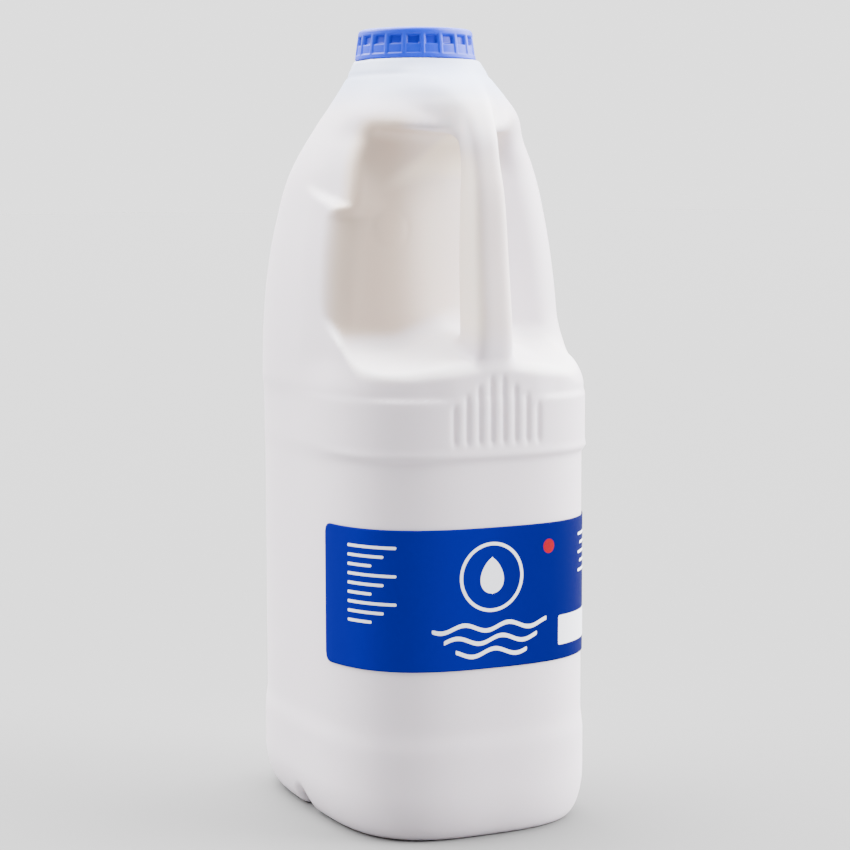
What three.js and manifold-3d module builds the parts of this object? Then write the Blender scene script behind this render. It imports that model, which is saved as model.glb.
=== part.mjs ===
// A shut two-litre plastic milk jug: blow-moulded bottle with a built-in handle, a ribbed screw cap and a
// wrap label. Millimetres, +Z up, base on z = 0, handle side towards -Y, mirror-symmetric about x = 0.
import * as THREE from 'three';
import { ParametricGeometry } from 'three/addons/geometries/ParametricGeometry.js';
import { mergeVertices } from 'three/addons/utils/BufferGeometryUtils.js';
import Module from 'manifold-3d';

// Body section: a two-exponent superellipse, deeper than it is wide.
const HALF_WIDTH = 47.4;
const HALF_DEPTH = 60.35;
const WIDTH_POWER = 2.76;
const DEPTH_POWER = 3.57;

// Heights of the bands, from the base up.
const BASE_ROUND_HEIGHT = 16.4;
const BASE_INSET_SIDE = 7.9;
const BASE_INSET_FRONT = 5;
const PANEL_BOTTOM = 33.3;
const PANEL_TOP = 126.5;
const PANEL_RAMP = 2.3;
const PANEL_DEPTH = 0.7;
const BAND_TOP = 146.2;
const BAND_FRONT = -0.3;
const BAND_BACK = 0.5;
const SHOULDER_START = 149;
const NECK_TOP = 258;
const NECK_RADIUS = 19.7;
const NECK_OFFSET = 2.4;

// Shoulder: share of the way from the neck circle to the full body section, by height.
const SHOULDER = [
  [149, 1], [168.4, 0.984], [182.8, 0.95], [202, 0.86], [221.3, 0.7], [235.7, 0.465], [245.3, 0.273],
  [252, 0.145], [258, 0.05],
];

// Fullness of the front half: how boxy the shoulder and the foot stay. Power of the neck's set-back.
const FRONT_FULLNESS = 0.55;
const FOOT_FULLNESS = 0.35;
const NECK_SETBACK = 4;

// Arched gully across the base between a front and a rear foot, flaring out at both side faces.
const GULLY_Y = 0;
const GULLY_HALF_WIDTH = 4.6;
const GULLY_HEIGHT = 6.8;
const GULLY_EDGE = 3.5;

// Hand recess behind the handle.
const WALL_Y_LOW = -27.9;
const WALL_Y_HIGH = -23.3;
const WALL_Z_LOW = 173.2;
const WALL_Z_HIGH = 225.1;
const WALL_DRAFT = 0.05;
const WALL_CORNER = 9.8;
const FLOOR_Z = 159.2;
const FLOOR_SLOPE = 0.1;
const FLOOR_DRAFT = 0.16;
const FLOOR_FILLET = 7;
const CEILING_Z = 232.3;
const CEILING_DRAFT = 0.07;
const CEILING_FILLET = 4.5;
const LIP_ROUND = 4.5;
const CEILING_ROUND = 2.5;

// Handle centre line in the x = 0 plane, as [y, z], with its half sizes across and through.
const HANDLE_PATH = [
  [-14, 249], [-29.4, 244], [-40, 238.5], [-45.3, 231], [-47.4, 222], [-49, 210], [-49.9, 192], [-51.7, 166.4],
  [-50.2, 152], [-46, 136],
];
const HANDLE_HALF_WIDTH = [9.6, 8.4, 6.8, 5.7, 5.5, 6.2, 6.8, 7.3, 7.8, 8.5];
const HANDLE_HALF_DEPTH = [6.5, 6.6, 5.8, 5.6, 6.1, 7.3, 8.1, 8.6, 7.9, 7.7];
const HANDLE_POWER = 3.4;

// Grip ribs on the front face below the handle.
const RIB_COUNT = 8;
const RIB_PITCH = 4.36;
const RIB_RADIUS = 1.3;
const RIB_BOTTOM = 131;
const RIB_PEAK = 154;
const RIB_FALL = 0.72;

// Screw cap.
const CAP_BOTTOM = 258.3;
const CAP_TOP = 268.6;
const CAP_RADIUS = 20.9;
const CAP_TAPER = 1.15;
const CAP_EDGE = 1.55;
const CAP_RIBS = 20;
const CAP_GROOVE = 0.55;
const CAP_LIP = 1.5;

// Wrap label over the front half.
const LABEL_BOTTOM = 57.4;
const LABEL_TOP = 104.1;
const LABEL_END_Y = -24.5;
const LABEL_GAP = 0.3;
const LABEL_THICKNESS = 0.35;
const LABEL_CORNER = 3;

const wasm = await Module();
wasm.setup();

// Signed power: keeps the sign of the base.
const spow = (value, power) => Math.sign(value) * Math.abs(value) ** power;

// Smooth step from 0 at edge0 to 1 at edge1.
const ramp = (edge0, edge1, value) => THREE.MathUtils.smoothstep(value, edge0, edge1);

// Watertight boolean solid from a three.js geometry.
function solid(geometry) {
  geometry.deleteAttribute('normal');
  geometry.deleteAttribute('uv');
  const merged = mergeVertices(geometry, 1e-4);
  const index = merged.index.array;
  const kept = [];
  for (let i = 0; i < index.length; i += 3) {
    const [a, b, c] = [index[i], index[i + 1], index[i + 2]];
    if (a !== b && b !== c && c !== a) kept.push(a, b, c);
  }
  const mesh = (triangles) => new wasm.Mesh({
    numProp: 3,
    vertProperties: new Float32Array(merged.attributes.position.array),
    triVerts: new Uint32Array(triangles),
  });
  let body = new wasm.Manifold(mesh(kept));
  if (body.volume() < 0) {
    for (let i = 0; i < kept.length; i += 3) [kept[i], kept[i + 1]] = [kept[i + 1], kept[i]];
    body = new wasm.Manifold(mesh(kept));
  }
  return body;
}

// Named mesh from a boolean solid.
function part(name, body, material) {
  const mesh = body.getMesh();
  const stride = mesh.numProp;
  const positions = new Float32Array(mesh.vertProperties.length / stride * 3);
  for (let i = 0; i < positions.length / 3; i += 1) {
    for (let k = 0; k < 3; k += 1) positions[3 * i + k] = mesh.vertProperties[stride * i + k];
  }
  const geometry = new THREE.BufferGeometry();
  geometry.setAttribute('position', new THREE.BufferAttribute(positions, 3));
  geometry.setIndex(new THREE.BufferAttribute(new Uint32Array(mesh.triVerts), 1));
  geometry.computeVertexNormals();
  const result = new THREE.Mesh(geometry, material);
  result.name = name;
  return result;
}

// Even list of numbers from first to last.
const steps = (first, last, count) => Array.from({ length: count + 1 }, (_, i) => first + (last - first) * i / count);

// Shoulder share at a height, on a smooth curve through the table.
const shoulderCurve = new THREE.SplineCurve(SHOULDER.map(([z, share]) => new THREE.Vector2(z, share * 100)));
const shoulderPoints = shoulderCurve.getPoints(200);
function share(z) {
  if (z <= SHOULDER_START) return 1;
  let i = 1;
  while (i < shoulderPoints.length - 1 && shoulderPoints[i].x < z) i += 1;
  const [p, q] = [shoulderPoints[i - 1], shoulderPoints[i]];
  const t = THREE.MathUtils.clamp((z - p.x) / (q.x - p.x), 0, 1);
  return (p.y + (q.y - p.y) * t) / 100;
}

// How far the side wall stands inside the full section at a height, for a place y along the depth.
function inset(y, z) {
  const half = PANEL_RAMP / 2;
  const panelHigh = ramp(PANEL_TOP - half, PANEL_TOP + half, z);
  const inPanel = ramp(PANEL_BOTTOM - half, PANEL_BOTTOM + half, z) - panelHigh;
  const inBand = panelHigh - ramp(BAND_TOP - half, BAND_TOP + half, z);
  const band = BAND_FRONT + (BAND_BACK - BAND_FRONT) * ramp(-40, 20, y);
  return PANEL_DEPTH * inPanel + band * inBand;
}

// Half width, half depth, centre and powers of the body section at a height, for a place y along the depth.
function section(z, y = -HALF_DEPTH) {
  const s = share(z);
  const drop = 1 - Math.min(z / BASE_ROUND_HEIGHT, 1);
  const turnIn = 1 - Math.sqrt(1 - drop * drop);
  const boxy = y < 0 ? s ** FRONT_FULLNESS + FOOT_FULLNESS * turnIn : s;
  return {
    a: NECK_RADIUS + (HALF_WIDTH - NECK_RADIUS) * s - inset(y, z) - BASE_INSET_SIDE * turnIn,
    b: NECK_RADIUS + (HALF_DEPTH - NECK_RADIUS) * s - inset(y, z) - BASE_INSET_FRONT * turnIn,
    y: NECK_OFFSET * (1 - s) ** NECK_SETBACK,
    n: 2 + (WIDTH_POWER - 2) * boxy,
    m: 2 + (DEPTH_POWER - 2) * boxy,
  };
}

// Point on the body section at a height and angle, moved out by an offset.
function onSection(z, angle, offset, target) {
  const [c, d] = [Math.cos(angle), Math.sin(angle)];
  const s = section(z, HALF_DEPTH * spow(d, 2 / DEPTH_POWER));
  return target.set((s.a + offset) * spow(c, 2 / s.n), s.y + (s.b + offset) * spow(d, 2 / s.m), z);
}

// Bottle envelope: body sections stacked from the base to the neck, closed at both ends.
function envelope() {
  const levels = [
    ...steps(0, 1, 8).map((t) => BASE_ROUND_HEIGHT * (1 - Math.cos(t * Math.PI / 2))),
    ...steps(PANEL_BOTTOM - PANEL_RAMP / 2, PANEL_BOTTOM + PANEL_RAMP / 2, 2),
    ...steps(66, 95, 1),
    ...steps(PANEL_TOP - PANEL_RAMP / 2, PANEL_TOP + PANEL_RAMP / 2, 2),
    ...steps(BAND_TOP - PANEL_RAMP / 2, BAND_TOP + PANEL_RAMP / 2, 2),
    ...steps(156, 183, 4),
    ...steps(188, NECK_TOP, 17),
  ];
  const rows = levels.length + 1;
  return solid(new ParametricGeometry((u, v, target) => {
    const row = Math.round(v * rows);
    if (row === 0) return target.set(0, 0, 0);
    if (row === rows) return target.set(0, NECK_OFFSET, NECK_TOP);
    return onSection(levels[row - 1], u * 2 * Math.PI, 0, target);
  }, 72, rows));
}

// Extra reach of a rounded corner: a circular arc that starts at 0 and runs on straight once it is steep.
function flare(over, radius) {
  const bend = Math.min(Math.max(over, 0), 0.8 * radius);
  return radius - Math.sqrt(radius ** 2 - bend ** 2) + Math.max(over - bend, 0) * 4 / 3;
}

// Gully cut across the base: a half-round arch carried from side to side, wider towards both side faces.
function gully() {
  const edge = HALF_WIDTH - GULLY_EDGE;
  const half = [...steps(0, edge, 2), ...steps(edge, HALF_WIDTH + 1, 5).slice(1)];
  const across = [...half.slice(1).reverse().map((x) => -x), ...half];
  const rows = across.length + 1;
  const arch = new THREE.Path();
  arch.moveTo(1, -0.1);
  arch.absarc(0, 0, 1, 0, Math.PI);
  arch.lineTo(-1, -0.1);
  const loop = arch.getPoints(6);
  return solid(new ParametricGeometry((u, v, target) => {
    const row = Math.round(v * rows);
    const x = across[THREE.MathUtils.clamp(row - 1, 0, across.length - 1)];
    if (row === 0 || row === rows) return target.set(x, GULLY_Y, 1);
    const wider = flare(Math.abs(x) - edge, GULLY_EDGE);
    const p = loop[Math.round(u * loop.length) % loop.length];
    return target.set(x, GULLY_Y + (GULLY_HALF_WIDTH + wider) * p.x, (GULLY_HEIGHT + wider) * p.y);
  }, loop.length, rows));
}

// Radius of the hand recess's outer edge: small at the lip and the ceiling, large up the sides.
function edgeRound(z) {
  const side = (WALL_CORNER - LIP_ROUND) * ramp(FLOOR_Z + 4, FLOOR_Z + 17, z);
  return LIP_ROUND + side - (WALL_CORNER - CEILING_ROUND) * ramp(CEILING_Z - 36, CEILING_Z - 4, z);
}

// Hand recess: floor, wall and ceiling of the room behind the handle, with draft away from x = 0 and a
// rounded corner where the wall runs out into each side face.
function recess() {
  const outline = new THREE.Path();
  const wallAt = (z) => WALL_Y_LOW + (WALL_Y_HIGH - WALL_Y_LOW) * (z - WALL_Z_LOW) / (WALL_Z_HIGH - WALL_Z_LOW);
  const floorAt = (y) => FLOOR_Z + FLOOR_SLOPE * (y + HALF_DEPTH);
  const footY = wallAt(WALL_Z_LOW);
  const footZ = floorAt(footY) + FLOOR_FILLET;
  const headZ = CEILING_Z - CEILING_FILLET;
  outline.moveTo(-90, floorAt(-90));
  outline.lineTo(-62, floorAt(-62));
  outline.lineTo(footY - FLOOR_FILLET, floorAt(footY - FLOOR_FILLET));
  outline.quadraticCurveTo(footY, floorAt(footY), wallAt(footZ), footZ);
  for (const z of steps(footZ, headZ, 7).slice(1)) outline.lineTo(wallAt(z), z);
  outline.quadraticCurveTo(wallAt(CEILING_Z), CEILING_Z, wallAt(CEILING_Z) - CEILING_FILLET, CEILING_Z);
  outline.lineTo(-62, CEILING_Z);
  outline.lineTo(-90, CEILING_Z);
  outline.lineTo(-90, floorAt(-90));
  const loop = outline.getPoints(6);
  loop.pop();
  const shares = [0, 0.08, 0.2, 0.34, 0.48, 0.6, 0.68, 0.74, 0.79, 0.84, 0.88, 0.915, 0.95, 1, 1.1];
  const across = [...shares.slice(1).reverse().map((s) => -s), ...shares];
  const rows = across.length + 1;
  return solid(new ParametricGeometry((u, v, target) => {
    const row = Math.round(v * rows);
    const s = across[Math.min(Math.max(row - 1, 0), across.length - 1)];
    if (row === 0 || row === rows) return target.set(s * HALF_WIDTH, -62, 200);
    const p = loop[Math.round(u * loop.length) % loop.length];
    const halfWidth = section(p.y).a;
    const x = s * (halfWidth + 1);
    const out = Math.sqrt(x * x + 9) - 3;
    const depthShare = THREE.MathUtils.clamp((p.x + 60) / 25, 0, 1);
    const heightShare = THREE.MathUtils.clamp((p.y - FLOOR_Z) / (CEILING_Z - FLOOR_Z), 0, 1);
    const lift = CEILING_DRAFT * Math.max(2 * heightShare - 1, 0) - FLOOR_DRAFT * Math.max(1 - 2 * heightShare, 0);
    const round = edgeRound(p.y);
    const back = WALL_DRAFT * out + flare(Math.abs(x) - halfWidth + round, round);
    return target.set(x, p.x + depthShare * back, p.y + lift * out);
  }, loop.length, rows));
}

// Handle: a soft-cornered bar swept down its centre line, flaring into the neck and the front face.
function handle() {
  const path = new THREE.CatmullRomCurve3(HANDLE_PATH.map(([y, z]) => new THREE.Vector3(0, y, z)));
  const last = HANDLE_PATH.length - 1;
  const blend = (values, t) => {
    const i = Math.min(Math.floor(t * last), last - 1);
    return THREE.MathUtils.lerp(values[i], values[i + 1], THREE.MathUtils.smoothstep(t * last - i, 0, 1));
  };
  const rows = 32;
  const across = new THREE.Vector3(1, 0, 0);
  return solid(new ParametricGeometry((u, v, target) => {
    const row = Math.round(v * rows);
    const t = THREE.MathUtils.clamp((row - 1) / (rows - 2), 0, 1);
    const closed = row === 0 || row === rows ? 0 : 1;
    const out = new THREE.Vector3().crossVectors(path.getTangent(t), across).normalize();
    const angle = u * 2 * Math.PI;
    target.copy(path.getPoint(t));
    target.addScaledVector(across, closed * blend(HANDLE_HALF_WIDTH, t) * spow(Math.cos(angle), 2 / HANDLE_POWER));
    return target.addScaledVector(out, closed * blend(HANDLE_HALF_DEPTH, t) * spow(Math.sin(angle), 2 / HANDLE_POWER));
  }, 28, rows));
}

// One upright grip groove on the front face.
function groove(x) {
  const top = RIB_PEAK - RIB_FALL * Math.max(Math.abs(x) - RIB_PITCH / 2, 0);
  const length = top - RIB_BOTTOM - 2 * RIB_RADIUS;
  const geometry = new THREE.CapsuleGeometry(RIB_RADIUS, length, 3, 8);
  geometry.rotateX(Math.PI / 2);
  const s = section(RIB_BOTTOM);
  const front = s.b * (1 - Math.abs(x / s.a) ** s.n) ** (1 / s.m);
  geometry.translate(x, -front - 0.5, (top + RIB_BOTTOM) / 2);
  return solid(geometry);
}

function bottle() {
  let body = envelope().subtract(gully()).subtract(recess()).add(handle());
  for (let i = 0; i < RIB_COUNT; i += 1) {
    body = body.subtract(groove((i - (RIB_COUNT - 1) / 2) * RIB_PITCH));
  }
  return body;
}

// Screw cap: tapered drum with a rounded top edge and shallow upright grip panels between narrow ribs.
function cap() {
  const levels = [
    { z: CAP_BOTTOM, r: CAP_RADIUS - 0.3, g: 0 },
    { z: CAP_BOTTOM + 0.5, r: CAP_RADIUS, g: 0 },
    { z: CAP_BOTTOM + CAP_LIP, r: CAP_RADIUS - 0.1, g: 0 },
    { z: CAP_BOTTOM + CAP_LIP + 0.6, r: CAP_RADIUS - 0.15, g: 1 },
    { z: CAP_TOP - CAP_EDGE - 1.4, r: CAP_RADIUS - CAP_TAPER * 0.85, g: 1 },
    { z: CAP_TOP - CAP_EDGE - 0.8, r: CAP_RADIUS - CAP_TAPER * 0.9, g: 0 },
    ...steps(0, Math.PI / 2, 4).map((t) => ({
      z: CAP_TOP - CAP_EDGE * (1 - Math.sin(t)),
      r: CAP_RADIUS - CAP_TAPER - CAP_EDGE * (1 - Math.cos(t)),
      g: 0,
    })),
  ];
  const rows = levels.length + 1;
  const perRib = 5;
  const shape = [0, 0, 1, 1, 1];
  const offset = [-0.06, 0.06, 0.1, 0.5, 0.9];
  return solid(new ParametricGeometry((u, v, target) => {
    const row = Math.round(v * rows);
    if (row === 0) return target.set(0, NECK_OFFSET, CAP_BOTTOM);
    if (row === rows) return target.set(0, NECK_OFFSET, CAP_TOP);
    const { z, r, g } = levels[row - 1];
    const k = Math.round(u * CAP_RIBS * perRib) % (CAP_RIBS * perRib);
    const angle = (Math.floor(k / perRib) + offset[k % perRib]) * 2 * Math.PI / CAP_RIBS;
    const radius = r - g * CAP_GROOVE * shape[k % perRib];
    return target.set(radius * Math.cos(angle), NECK_OFFSET + radius * Math.sin(angle), z);
  }, CAP_RIBS * perRib, rows));
}

// Wrap label: a thin skin round the front half of the panel with rounded corners at its two ends.
function label() {
  const s = section(80);
  const endAngle = Math.asin((Math.abs(LABEL_END_Y) / s.b) ** (s.m / 2));
  const middleZ = (LABEL_BOTTOM + LABEL_TOP) / 2;
  const half = (LABEL_TOP - LABEL_BOTTOM) / 2;
  const columns = 72;
  const loop = [[0, -1], [1, -1], [1, 1], [0, 1]];
  const angleAt = (t) => endAngle - Math.PI + (Math.PI - 2 * endAngle) * t;
  const length = [0];
  const probe = [new THREE.Vector3(), new THREE.Vector3()];
  for (let i = 1; i <= columns; i += 1) {
    onSection(80, angleAt((i - 1) / columns), 0, probe[0]);
    onSection(80, angleAt(i / columns), 0, probe[1]);
    length.push(length[i - 1] + probe[0].distanceTo(probe[1]));
  }
  const total = length[columns];
  const rise = (i) => {
    const near = Math.max(LABEL_CORNER - Math.min(length[i], total - length[i]), 0);
    return half - LABEL_CORNER + Math.sqrt(Math.max(LABEL_CORNER ** 2 - near ** 2, 0));
  };
  const rows = columns + 2;
  return solid(new ParametricGeometry((u, v, target) => {
    const row = Math.round(v * rows);
    const i = THREE.MathUtils.clamp(row - 1, 0, columns);
    const [out, up] = loop[Math.round(u * 4) % 4];
    const closed = row === 0 || row === rows;
    const offset = LABEL_GAP + LABEL_THICKNESS * (closed ? 0.5 : out);
    onSection(80, angleAt(i / columns), offset, target);
    target.z = middleZ + (closed ? 0 : up * rise(i));
    return target;
  }, 4, rows));
}

const model = new THREE.Group();
model.name = 'milk_jug';
model.add(part('bottle', bottle(), new THREE.MeshStandardMaterial({ color: 0xe4e2e0, roughness: 0.5, metalness: 0 })));
model.add(part('cap', cap(), new THREE.MeshStandardMaterial({ color: 0x2a5ee0, roughness: 0.4, metalness: 0 })));
model.add(part('label', label(), new THREE.MeshStandardMaterial({ color: 0x1f3f9a, roughness: 0.35, metalness: 0 })));
export default model;
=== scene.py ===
# %% [markdown]
# # A plastic milk jug
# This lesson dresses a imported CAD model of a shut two-litre milk jug: a milky blow-moulded bottle with a
# built-in handle, a blue screw cap and a blue wrap label. The CAD model gives the size, the place and the
# collision. Here each piece gets its soft edges, its fine relief and its finish.
# Every length below is in millimetres until a mesh is made, and then it is turned to metres. The front of
# the jug looks along -Y. A pair of numbers in brackets is a span: where a fade starts, and where it is full.

# %% Load the frame
import math

import bmesh
import bpy
import numpy as np
from mathutils import Matrix, Vector


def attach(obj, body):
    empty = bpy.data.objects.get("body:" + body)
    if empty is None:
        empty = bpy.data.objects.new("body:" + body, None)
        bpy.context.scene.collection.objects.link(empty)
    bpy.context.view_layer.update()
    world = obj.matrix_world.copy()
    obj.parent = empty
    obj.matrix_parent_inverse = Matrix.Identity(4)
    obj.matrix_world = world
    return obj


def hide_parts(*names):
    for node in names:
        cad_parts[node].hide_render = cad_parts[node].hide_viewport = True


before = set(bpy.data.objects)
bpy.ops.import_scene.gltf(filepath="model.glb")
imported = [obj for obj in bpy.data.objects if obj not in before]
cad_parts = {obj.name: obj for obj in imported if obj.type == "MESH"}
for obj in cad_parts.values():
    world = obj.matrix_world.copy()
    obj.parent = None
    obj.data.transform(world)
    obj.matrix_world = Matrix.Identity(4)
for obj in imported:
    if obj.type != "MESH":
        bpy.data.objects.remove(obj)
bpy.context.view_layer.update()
MM = 0.001

# %% [markdown]
# ## Small tools
# A mesh is filled from whole arrays, because a loop over vertices is slow in Python. A short table of sizes
# is read through a smooth curve, so that a handful of values gives a soft outline. Where a material needs to
# know something about a place on a piece, the mesh keeps one number per point under a name.

# %% Mesh helpers


def mesh_piece(name, points, quads):
    """A smooth object at the origin from points in millimetres and four-cornered faces by point numbers."""
    mesh = bpy.data.meshes.new(name)
    mesh.from_pydata((np.asarray(points) * MM).tolist(), [], np.asarray(quads).tolist())
    mesh.polygons.foreach_set("use_smooth", np.full(len(mesh.polygons), True))
    mesh.update()
    piece = bpy.data.objects.new(name, mesh)
    bpy.context.scene.collection.objects.link(piece)
    return piece


def grid_quads(rows, columns, wrap=False):
    """Faces of a rows by columns grid of points; wrap joins the last column to the first."""
    numbers = np.arange(rows * columns).reshape(rows, columns)
    if wrap:
        numbers = np.concatenate([numbers, numbers[:, :1]], axis=1)
    corners = (numbers[:-1, :-1], numbers[:-1, 1:], numbers[1:, 1:], numbers[1:, :-1])
    return np.stack(corners, axis=-1).reshape(-1, 4)


def keep_per_point(piece, name, values):
    """Keeps one number for each point of the mesh under a name that a material can read."""
    kept = piece.data.attributes.new(name, "FLOAT", "POINT")
    kept.data.foreach_set("value", values.reshape(-1).astype(np.float32))


print("a grid of 3 by 4 points has", len(grid_quads(3, 4)), "faces")

# %% Curve helpers


def through(table, at):
    """Cubic through (place, value) pairs, with slopes taken from the neighbours, flat beyond the ends."""
    place, value = np.array(table, float).T
    slope = np.gradient(value, place)
    i = np.clip(np.searchsorted(place, at) - 1, 0, len(place) - 2)
    span = place[i + 1] - place[i]
    t = np.clip((at - place[i]) / span, 0, 1)
    start = (2 * t**3 - 3 * t**2 + 1) * value[i] + (t**3 - 2 * t**2 + t) * span * slope[i]
    return start + (3 * t**2 - 2 * t**3) * value[i + 1] + (t**3 - t**2) * span * slope[i + 1]


def ramp(start, full, at):
    """Smooth step: 0 up to the start, 1 from full on, an S-curve between; it may run either way."""
    t = np.clip((at - start) / (full - start), 0, 1)
    return t * t * (3 - 2 * t)


def mix(first, second, share):
    """First where the share is 0, second where it is 1, and in proportion between."""
    return first + (second - first) * share


def bell(at, middle, half_width):
    """Bell curve: 1 in the middle, nearly 0 two half widths away."""
    return np.exp(-(((at - middle) / half_width) ** 2))


print("a ramp a quarter of the way up gives", ramp(0, 1, 0.25))

# %% [markdown]
# ## The body's sections
# A blow-moulded jug is a soft rounded box low down that narrows to a round neck. A superellipse with two
# powers, |x/a|^n + |y/b|^m = 1, gives the box with its rounded corners, and the same curve with both powers
# at 2 gives the neck. One number, the shoulder share, runs from 1 at the body to 0 at the neck and mixes
# width, depth, powers and centre together, so the shoulder stays smooth all round. Lofting a few drawn
# sections would do too, but a formula can be asked for the wall at any height.

# %% Panel, band and flanks
PANEL_BOTTOM, PANEL_TOP, PANEL_DEPTH = 33.3, 126.5, 0.7
PANEL_MIDDLE = (PANEL_BOTTOM + PANEL_TOP) / 2
PANEL_LOW_SLOPE, PANEL_FRONT_SLOPE, PANEL_FLANK_SLOPE = 9.0, 2.6, 8.0
PANEL_SOFTENS_Y = (-45, -15)
BAND_TOP, BAND_FRONT, BAND_BACK, BAND_SETS_IN_Y = 146.2, -0.3, 0.5, (-40, 20)
FLANK_DRAW, FLANK_Y, FLANK_FOOT_Z, FLANK_HEAD_Z = 1.7, (-2, -26), (148, 160), (240, 230)


def wall_inset(y, z):
    """How far the wall stands in from the full section: the label panel's shallow recess, and the plain band
    over it, which stands proud at the front. The edges are crisper at the front than on the flanks."""
    low = PANEL_LOW_SLOPE / 2
    half = mix(PANEL_FRONT_SLOPE, PANEL_FLANK_SLOPE, ramp(*PANEL_SOFTENS_Y, y)) / 2
    panel_low = ramp(PANEL_BOTTOM - low, PANEL_BOTTOM + low, z)
    panel_high = ramp(PANEL_TOP - half, PANEL_TOP + half, z)
    band_high = ramp(BAND_TOP - half, BAND_TOP + half, z)
    band = mix(BAND_FRONT, BAND_BACK, ramp(*BAND_SETS_IN_Y, y))
    return PANEL_DEPTH * (panel_low - panel_high) + band * (panel_high - band_high)


def flank_draw(y, z):
    """How far a flank draws in towards the hand recess."""
    return FLANK_DRAW * ramp(*FLANK_Y, y) * ramp(*FLANK_FOOT_Z, z) * ramp(*FLANK_HEAD_Z, z)


print("panel", round(PANEL_TOP - PANEL_BOTTOM, 1), "mm tall", float(wall_inset(0, PANEL_MIDDLE)), "mm deep")

# %% Section at a height
HALF_WIDTH, HALF_DEPTH = 47.4, 60.35
WIDTH_POWER, DEPTH_POWER = 2.76, 3.57
NECK_RADIUS, NECK_OFFSET, NECK_TOP, NECK_SETBACK = 19.7, 2.4, 258.0, 4
SHOULDER = [(149, 1), (168.4, 0.984), (182.8, 0.95), (202, 0.86), (221.3, 0.7), (235.7, 0.465),
            (245.3, 0.273), (252, 0.145), (258, 0.05)]
BASE_ROUND_HEIGHT, BASE_INSET_SIDE, BASE_INSET_FRONT = 16.4, 7.9, 5.0
FRONT_FULLNESS, FOOT_FULLNESS = 0.55, 0.35


def section(y, z):
    """Half width, half depth, centre and the two powers of the body at a height, for the front or the back
    half. The base turns in by a quarter ellipse, and the front of the shoulder is fuller than its back."""
    share = through(SHOULDER, z)
    centre = NECK_OFFSET * (1 - share) ** NECK_SETBACK
    drop = 1 - np.minimum(z / BASE_ROUND_HEIGHT, 1)
    turn_in = 1 - np.sqrt(1 - drop**2)
    inset = wall_inset(y, z)
    half_width = mix(NECK_RADIUS, HALF_WIDTH, share) - inset - BASE_INSET_SIDE * turn_in
    half_width = half_width - flank_draw(y, z)
    half_depth = mix(NECK_RADIUS, HALF_DEPTH, share) - inset - BASE_INSET_FRONT * turn_in
    boxy = np.where(y < centre, share**FRONT_FULLNESS + FOOT_FULLNESS * turn_in, share)
    return half_width, half_depth, centre, mix(2, WIDTH_POWER, boxy), mix(2, DEPTH_POWER, boxy)


print("half width at the panel", float(section(0.0, np.array(PANEL_MIDDLE))[0]))

# %% Plain body
LEFT_SIDE = (0, -10)
STEP_DRAW, STEP_Z, STEP_RISE, STEP_MIDDLE_Y, STEP_SOFT = 2.2, 206.5, 0.28, -29, 1.5
STEP_EXTRA, STEP_EXTRA_GONE, STEP_EXTRA_FULL = 1.0, 20, 3
STEP_Y, STEP_HEAD_Z = (8, -22), (242, 230)
DOME_SWELL, DOME_SWELL_WIDTH = 4.0, 16.0
DOME_SWELL_Y, DOME_SWELL_FOOT_Z, DOME_SWELL_HEAD_Z = (-8, -24), (226, 238), (257, 245)
OFF_ZERO, LEAST_VALUE, LEAST_SLOPE = 1e-4, 0.05, 0.004


def left_step(x, y, z):
    """How far the left flank draws in further over a slanting step at the edge of the hand recess."""
    step_z = STEP_Z + STEP_RISE * (y - STEP_MIDDLE_Y)
    extra = STEP_EXTRA * ramp(step_z + STEP_EXTRA_GONE, step_z + STEP_EXTRA_FULL, z)
    depth = STEP_DRAW * ramp(*STEP_HEAD_Z, z) + extra
    return depth * ramp(step_z - STEP_SOFT, step_z + STEP_SOFT, z) * ramp(*STEP_Y, y) * ramp(*LEFT_SIDE, x)


def dome_swell(x, y, z):
    """How far the front of the dome swells out to lead into the handle: a bell across, faded up and down."""
    tall = ramp(*DOME_SWELL_FOOT_Z, z) * ramp(*DOME_SWELL_HEAD_Z, z)
    return DOME_SWELL * bell(x, 0, DOME_SWELL_WIDTH) * tall * ramp(*DOME_SWELL_Y, y)


def body_field(x, y, z):
    """Gap to the plain body, negative inside: the superellipse's own value less 1, over its slope."""
    a, b, centre, n, m = section(y, np.clip(z, 0, NECK_TOP))
    a = a - left_step(x, y, z)
    px, py = np.abs(x) / a + OFF_ZERO, np.abs(y - centre) / b + OFF_ZERO
    value = px**n + py**m
    power = 2 / (n + m)
    size = np.maximum(value, LEAST_VALUE) ** power
    steep = np.hypot(n * px ** (n - 1) / a, m * py ** (m - 1) / b)
    slope = power * size / np.maximum(value, LEAST_VALUE) * steep
    return (size - 1) / np.maximum(slope, LEAST_SLOPE) - dome_swell(x, y, z)


print("gap 10 mm in front of the panel", round(float(body_field(0, -HALF_DEPTH - 10, PANEL_MIDDLE)), 2))

# %% [markdown]
# ## Handle and hand recess
# The handle makes a hole through the jug, so one grid of two parameters can't give it. A boolean of two
# meshes could, but its edges would be sharp, and the real jug has none: hot plastic was blown against a
# mould. So the bottle is written as a field, a formula that is negative inside and positive outside. Two
# fields meet in a round of any radius, which is just how a mould maker thinks of it.

# %% Rounded joins


def meet_round(f, g, radius):
    """The part inside both f and g, with the edge where they meet rounded to the radius."""
    over = np.hypot(np.maximum(f + radius, 0), np.maximum(g + radius, 0))
    return np.minimum(np.maximum(f, g), -radius) + over


def join_round(f, g, radius):
    """The part inside f or g, with a fillet of the radius in the corner between them."""
    under = np.hypot(np.maximum(radius - f, 0), np.maximum(radius - g, 0))
    return np.maximum(np.minimum(f, g), radius) - under


print("a fillet of 5 mm fills a corner by", round(-float(join_round(0, 0, 5)), 2), "mm")

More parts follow.
